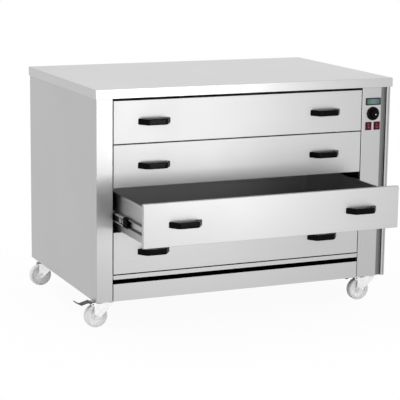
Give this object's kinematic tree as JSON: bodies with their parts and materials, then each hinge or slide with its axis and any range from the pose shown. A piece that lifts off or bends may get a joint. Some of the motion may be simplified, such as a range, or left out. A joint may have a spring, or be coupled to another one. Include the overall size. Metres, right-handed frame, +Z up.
{
  "type": "food warmer cabinet",
  "caption": "Free-standing stainless steel warming cabinet with stacked pull-out drawers under a flat worktop, a side control strip and swivel casters with brakes.",
  "frame": {"origin": "on the floor, in the middle of the area the part covers as it stands, with the third drawer pulled out", "axes": "+X to the right as seen from the front, along the worktop's long side; +Y from the drawers to the back; +Z up"},
  "size_m": [1.465, 1.281, 1.02],
  "materials": {
    "worktop_steel": "brushed stainless sheet, grain along the width",
    "panel_steel": "brushed stainless sheet",
    "chamber_steel": "plain sheet, dulled by heat",
    "drawer_box_steel": "plain stainless sheet",
    "slide_zinc": "bright zinc plate",
    "handle_plastic": "moulded, semi-gloss",
    "element_steel": "heat-darkened tube",
    "display_plastic": "moulded, dark",
    "display_glass": "tinted window",
    "thermostat_metal": "die cast",
    "knob_plastic": "moulded, glossy black",
    "switch_plastic": "moulded, black",
    "rocker_red": "translucent red",
    "gland_plastic": "moulded nylon",
    "caster_zinc": "bright zinc plate",
    "bolt_zinc": "bright zinc plate",
    "wheel_plastic": "moulded, light grey",
    "tyre_rubber": "grey rubber",
    "pedal_plastic": "moulded, black"
  },
  "bodies": {
    "cabinet": {"worktop": "worktop_steel", "left_stile": "panel_steel", "left_side_panel": "panel_steel", "right_side_panel": "panel_steel", "right_post": "panel_steel", "control_fascia": "panel_steel", "back_panel": "panel_steel", "bottom_rail": "panel_steel", "lower_front_panel": "panel_steel", "base_tray": "chamber_steel", "chamber_walls": "chamber_steel", "heating_element": "element_steel", "slide_outer_members": "slide_zinc", "display_bezel": "display_plastic", "display_window": "display_glass", "thermostat_body": "thermostat_metal", "switch_frames": "switch_plastic", "cable_gland": "gland_plastic", "caster_plates": "caster_zinc"},
    "drawer_1": {"drawer_1_front": "panel_steel", "drawer_1_box": "drawer_box_steel", "drawer_1_handles": "handle_plastic", "drawer_1_runners": "slide_zinc"},
    "slide_1": {"slide_middle_1": "slide_zinc"},
    "drawer_2": {"drawer_2_front": "panel_steel", "drawer_2_box": "drawer_box_steel", "drawer_2_handles": "handle_plastic", "drawer_2_runners": "slide_zinc"},
    "slide_2": {"slide_middle_2": "slide_zinc"},
    "drawer_3": {"drawer_3_front": "panel_steel", "drawer_3_box": "drawer_box_steel", "drawer_3_handles": "handle_plastic", "drawer_3_runners": "slide_zinc"},
    "slide_3": {"slide_middle_3": "slide_zinc"},
    "drawer_4": {"drawer_4_front": "panel_steel", "drawer_4_box": "drawer_box_steel", "drawer_4_handles": "handle_plastic", "drawer_4_runners": "slide_zinc"},
    "slide_4": {"slide_middle_4": "slide_zinc"},
    "knob": {"thermostat_knob": "knob_plastic"},
    "rocker_left": {"rocker_left": "rocker_red"},
    "rocker_right": {"rocker_right": "rocker_red"},
    "caster_front_left": {"caster_fork_front_left": "caster_zinc", "caster_axle_front_left": "bolt_zinc"},
    "wheel_front_left": {"caster_wheel_front_left": "wheel_plastic", "caster_tyre_front_left": "tyre_rubber"},
    "pedal_front_left": {"brake_pedal_front_left": "pedal_plastic"},
    "caster_front_right": {"caster_fork_front_right": "caster_zinc", "caster_axle_front_right": "bolt_zinc"},
    "wheel_front_right": {"caster_wheel_front_right": "wheel_plastic", "caster_tyre_front_right": "tyre_rubber"},
    "pedal_front_right": {"brake_pedal_front_right": "pedal_plastic"},
    "caster_back_left": {"caster_fork_back_left": "caster_zinc", "caster_axle_back_left": "bolt_zinc"},
    "wheel_back_left": {"caster_wheel_back_left": "wheel_plastic", "caster_tyre_back_left": "tyre_rubber"},
    "caster_back_right": {"caster_fork_back_right": "caster_zinc", "caster_axle_back_right": "bolt_zinc"},
    "wheel_back_right": {"caster_wheel_back_right": "wheel_plastic", "caster_tyre_back_right": "tyre_rubber"}
  },
  "joints": [
    {"name": "drawer_1_slide", "type": "slide", "parent": "cabinet", "child": "drawer_1", "axis": [0, -1, 0], "range_m": [0, 0.65]},
    {"name": "slide_1_follow", "type": "slide", "parent": "cabinet", "child": "slide_1", "axis": [0, -1, 0], "range_m": [0, 0.325]},
    {"name": "drawer_2_slide", "type": "slide", "parent": "cabinet", "child": "drawer_2", "axis": [0, -1, 0], "range_m": [0, 0.65]},
    {"name": "slide_2_follow", "type": "slide", "parent": "cabinet", "child": "slide_2", "axis": [0, -1, 0], "range_m": [0, 0.325]},
    {"name": "drawer_3_slide", "type": "slide", "parent": "cabinet", "child": "drawer_3", "axis": [0, -1, 0], "range_m": [-0.34, 0.31]},
    {"name": "slide_3_follow", "type": "slide", "parent": "cabinet", "child": "slide_3", "axis": [0, -1, 0], "range_m": [-0.17, 0.155]},
    {"name": "drawer_4_slide", "type": "slide", "parent": "cabinet", "child": "drawer_4", "axis": [0, -1, 0], "range_m": [0, 0.65]},
    {"name": "slide_4_follow", "type": "slide", "parent": "cabinet", "child": "slide_4", "axis": [0, -1, 0], "range_m": [0, 0.325]},
    {"name": "knob_turn", "type": "hinge", "parent": "cabinet", "child": "knob", "pos_m": [0.6415, -0.2605, 0.863], "axis": [0, 1, 0], "range_deg": [-114, 156]},
    {"name": "rocker_left_tilt", "type": "hinge", "parent": "cabinet", "child": "rocker_left", "pos_m": [0.6205, -0.2605, 0.808], "axis": [1, 0, 0], "range_deg": [0, 20]},
    {"name": "rocker_right_tilt", "type": "hinge", "parent": "cabinet", "child": "rocker_right", "pos_m": [0.6625, -0.2605, 0.808], "axis": [1, 0, 0], "range_deg": [0, 20]},
    {"name": "caster_front_left_swivel", "type": "hinge", "parent": "cabinet", "child": "caster_front_left", "pos_m": [-0.5985, -0.1955, 0.118], "axis": [0, 0, 1], "continuous": true},
    {"name": "wheel_front_left_roll", "type": "hinge", "parent": "caster_front_left", "child": "wheel_front_left", "pos_m": [-0.6385, -0.1955, 0.05], "axis": [0, 1, 0], "continuous": true},
    {"name": "pedal_front_left_press", "type": "hinge", "parent": "caster_front_left", "child": "pedal_front_left", "pos_m": [-0.6565, -0.1955, 0.104], "axis": [0, -1, 0], "range_deg": [0, 14]},
    {"name": "caster_front_right_swivel", "type": "hinge", "parent": "cabinet", "child": "caster_front_right", "pos_m": [0.6685, -0.1955, 0.118], "axis": [0, 0, 1], "continuous": true},
    {"name": "wheel_front_right_roll", "type": "hinge", "parent": "caster_front_right", "child": "wheel_front_right", "pos_m": [0.6285, -0.1955, 0.05], "axis": [0, 1, 0], "continuous": true},
    {"name": "pedal_front_right_press", "type": "hinge", "parent": "caster_front_right", "child": "pedal_front_right", "pos_m": [0.6105, -0.1955, 0.104], "axis": [0, -1, 0], "range_deg": [0, 14]},
    {"name": "caster_back_left_swivel", "type": "hinge", "parent": "cabinet", "child": "caster_back_left", "pos_m": [-0.5985, 0.5685, 0.118], "axis": [0, 0, 1], "continuous": true},
    {"name": "wheel_back_left_roll", "type": "hinge", "parent": "caster_back_left", "child": "wheel_back_left", "pos_m": [-0.6385, 0.5685, 0.05], "axis": [0, 1, 0], "continuous": true},
    {"name": "caster_back_right_swivel", "type": "hinge", "parent": "cabinet", "child": "caster_back_right", "pos_m": [0.6685, 0.5685, 0.118], "axis": [0, 0, 1], "continuous": true},
    {"name": "wheel_back_right_roll", "type": "hinge", "parent": "caster_back_right", "child": "wheel_back_right", "pos_m": [0.6285, 0.5685, 0.05], "axis": [0, 1, 0], "continuous": true}
  ],
  "couplings": [
    {"joint": "slide_1_follow", "follows": "drawer_1_slide", "ratio": 0.5},
    {"joint": "slide_2_follow", "follows": "drawer_2_slide", "ratio": 0.5},
    {"joint": "slide_3_follow", "follows": "drawer_3_slide", "ratio": 0.5},
    {"joint": "slide_4_follow", "follows": "drawer_4_slide", "ratio": 0.5}
  ]
}
